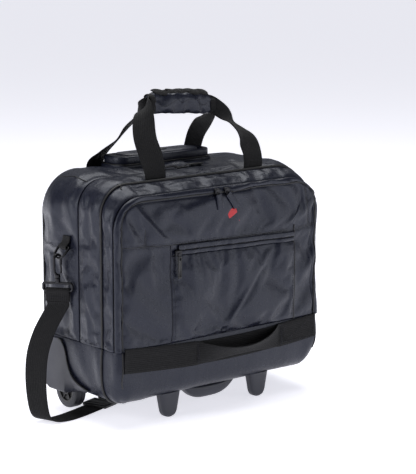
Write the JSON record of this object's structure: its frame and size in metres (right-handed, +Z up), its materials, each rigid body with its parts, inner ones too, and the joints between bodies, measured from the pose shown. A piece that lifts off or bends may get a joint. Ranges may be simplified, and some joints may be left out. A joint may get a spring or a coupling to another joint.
{
  "type": "rolling laptop case",
  "caption": "Soft rolling laptop case with two zipped compartments, wheels, feet, telescopic trolley handle, carry handles and a clip-on shoulder strap.",
  "frame": {"origin": "on the floor under the middle of the case", "axes": "+X to the right seen from the front, front faces -Y, +Z up"},
  "size_m": [0.5491, 0.2909, 0.5015],
  "materials": {
    "coated_fabric": "coated, low sheen",
    "lining": "matte",
    "frame_board": "matte",
    "webbing": "woven, matte",
    "moulded_plastic": "fine grain",
    "black_plastic": "satin",
    "wheel_rubber": "matte",
    "tube_aluminium": "anodised",
    "blackened_metal": "satin black",
    "red_tag": "soft rubber"
  },
  "bodies": {
    "case": {"back_panel": "coated_fabric", "rear_gusset": "coated_fabric", "base_tub": "coated_fabric", "bottom_grip": "black_plastic", "grab_band": "webbing", "lining_board": "frame_board", "laptop_sleeve": "lining", "tube_bracket": "black_plastic", "trolley_collar": "coated_fabric", "outer_tube_left": "tube_aluminium", "outer_tube_right": "tube_aluminium", "rear_handle": "webbing", "wheel_housing_left": "moulded_plastic", "wheel_housing_right": "moulded_plastic", "axle_left": "blackened_metal", "axle_right": "blackened_metal", "foot_left": "moulded_plastic", "foot_right": "moulded_plastic", "ring_tab_left": "webbing", "ring_tab_right": "webbing", "strap_left": "webbing", "strap_right": "webbing", "strap_slider": "black_plastic"},
    "front_half": {"front_gusset": "coated_fabric", "divider_panel": "lining", "front_handle": "webbing", "handle_wrap": "coated_fabric"},
    "front_cover": {"front_panel": "coated_fabric", "front_pocket": "coated_fabric", "zip_tag": "red_tag"},
    "trolley_lower": {"mid_tube_left": "tube_aluminium", "mid_tube_right": "tube_aluminium"},
    "trolley_upper": {"inner_tube_left": "tube_aluminium", "inner_tube_right": "tube_aluminium", "trolley_grip": "moulded_plastic"},
    "trolley_release": {"trolley_button": "black_plastic"},
    "pocket_zip": {"pocket_slider": "blackened_metal"},
    "pocket_pull": {"pocket_puller": "black_plastic"},
    "wheel_left": {"wheel_core_left": "black_plastic", "tyre_left": "wheel_rubber"},
    "main_zip_left": {"main_slider_left": "blackened_metal"},
    "main_pull_left": {"main_puller_left": "blackened_metal"},
    "front_zip_left": {"front_slider_left": "blackened_metal"},
    "front_pull_left": {"front_puller_left": "coated_fabric"},
    "ring_left": {"d_ring_left": "blackened_metal"},
    "clip_left": {"strap_loop_left": "blackened_metal", "strap_end_left": "webbing"},
    "hook_left": {"hook_left": "blackened_metal"},
    "gate_left": {"hook_gate_left": "blackened_metal"},
    "wheel_right": {"wheel_core_right": "black_plastic", "tyre_right": "wheel_rubber"},
    "main_zip_right": {"main_slider_right": "blackened_metal"},
    "main_pull_right": {"main_puller_right": "blackened_metal"},
    "front_zip_right": {"front_slider_right": "blackened_metal"},
    "front_pull_right": {"front_puller_right": "coated_fabric"},
    "ring_right": {"d_ring_right": "blackened_metal"},
    "clip_right": {"strap_loop_right": "blackened_metal", "strap_end_right": "webbing"},
    "hook_right": {"hook_right": "blackened_metal"},
    "gate_right": {"hook_gate_right": "blackened_metal"}
  },
  "joints": [
    {"name": "main_opening", "type": "hinge", "parent": "case", "child": "front_half", "pos_m": [0, -0.1043, 0.124], "axis": [1, 0, 0], "range_deg": [0, 50]},
    {"name": "front_opening", "type": "hinge", "parent": "front_half", "child": "front_cover", "pos_m": [0, -0.1043, 0.124], "axis": [1, 0, 0], "range_deg": [0, 38]},
    {"name": "trolley_stage_1", "type": "slide", "parent": "case", "child": "trolley_lower", "axis": [0, 0, 1], "range_m": [0, 0.27]},
    {"name": "trolley_stage_2", "type": "slide", "parent": "trolley_lower", "child": "trolley_upper", "axis": [0, 0, 1], "range_m": [0, 0.27]},
    {"name": "trolley_release", "type": "slide", "parent": "trolley_upper", "child": "trolley_release", "axis": [0, 0, -1], "range_m": [0, 0.003], "stiffness_N_per_m": 300},
    {"name": "pocket_zip", "type": "slide", "parent": "front_cover", "child": "pocket_zip", "axis": [1, 0, 0], "range_m": [0, 0.22]},
    {"name": "pocket_pull", "type": "hinge", "parent": "pocket_zip", "child": "pocket_pull", "pos_m": [-0.093, -0.1085, 0.2598], "axis": [-1, 0, 0], "range_deg": [0, 110]},
    {"name": "wheel_spin_left", "type": "hinge", "parent": "case", "child": "wheel_left", "pos_m": [-0.177, 0.064, 0.029], "axis": [1, 0, 0], "continuous": true},
    {"name": "main_zip_left", "type": "slide", "parent": "case", "child": "main_zip_left", "axis": [-1, 0, 0], "range_m": [0, 0.14]},
    {"name": "main_pull_left", "type": "hinge", "parent": "main_zip_left", "child": "main_pull_left", "pos_m": [-0.0112, 0.0012, 0.3788], "axis": [0, 1, 0], "range_deg": [0, 120]},
    {"name": "front_zip_left", "type": "slide", "parent": "front_cover", "child": "front_zip_left", "axis": [-1, 0, 0], "range_m": [0, 0.13]},
    {"name": "front_pull_left", "type": "hinge", "parent": "front_zip_left", "child": "front_pull_left", "pos_m": [-0.0125, -0.1056, 0.3464], "axis": [-1, 0, 0], "range_deg": [0, 110]},
    {"name": "clip_swing_left", "type": "hinge", "parent": "case", "child": "clip_left", "pos_m": [-0.2138, 0.024, 0.27], "axis": [0, 1, 0], "range_deg": [0, 20]},
    {"name": "ring_swing_left", "type": "hinge", "parent": "case", "child": "ring_left", "pos_m": [-0.2138, 0.024, 0.27], "axis": [0, 1, 0], "range_deg": [0, 20]},
    {"name": "hook_swivel_left", "type": "hinge", "parent": "clip_left", "child": "hook_left", "pos_m": [-0.227, 0.024, 0.2235], "axis": [0, 0, 1], "range_deg": [-10, 10]},
    {"name": "hook_gate_left", "type": "hinge", "parent": "hook_left", "child": "gate_left", "pos_m": [-0.2206, 0.024, 0.2295], "axis": [0, -1, 0], "range_deg": [0, 30], "stiffness_Nm_per_rad": 0.01},
    {"name": "wheel_spin_right", "type": "hinge", "parent": "case", "child": "wheel_right", "pos_m": [0.177, 0.064, 0.029], "axis": [1, 0, 0], "continuous": true},
    {"name": "main_zip_right", "type": "slide", "parent": "case", "child": "main_zip_right", "axis": [1, 0, 0], "range_m": [0, 0.14]},
    {"name": "main_pull_right", "type": "hinge", "parent": "main_zip_right", "child": "main_pull_right", "pos_m": [0.0112, 0.0012, 0.3788], "axis": [0, -1, 0], "range_deg": [0, 120]},
    {"name": "front_zip_right", "type": "slide", "parent": "front_cover", "child": "front_zip_right", "axis": [1, 0, 0], "range_m": [0, 0.13]},
    {"name": "front_pull_right", "type": "hinge", "parent": "front_zip_right", "child": "front_pull_right", "pos_m": [0.0068, -0.1056, 0.3464], "axis": [-1, 0, 0], "range_deg": [0, 110]},
    {"name": "clip_swing_right", "type": "hinge", "parent": "case", "child": "clip_right", "pos_m": [0.2138, 0.024, 0.27], "axis": [0, -1, 0], "range_deg": [0, 20]},
    {"name": "ring_swing_right", "type": "hinge", "parent": "case", "child": "ring_right", "pos_m": [0.2138, 0.024, 0.27], "axis": [0, -1, 0], "range_deg": [0, 20]},
    {"name": "hook_swivel_right", "type": "hinge", "parent": "clip_right", "child": "hook_right", "pos_m": [0.227, 0.024, 0.2235], "axis": [0, 0, 1], "range_deg": [-10, 10]},
    {"name": "hook_gate_right", "type": "hinge", "parent": "hook_right", "child": "gate_right", "pos_m": [0.2206, 0.024, 0.2295], "axis": [0, 1, 0], "range_deg": [0, 30], "stiffness_Nm_per_rad": 0.01}
  ],
  "couplings": [
    {"joint": "ring_swing_left", "follows": "clip_swing_left", "ratio": 1},
    {"joint": "ring_swing_right", "follows": "clip_swing_right", "ratio": 1}
  ]
}
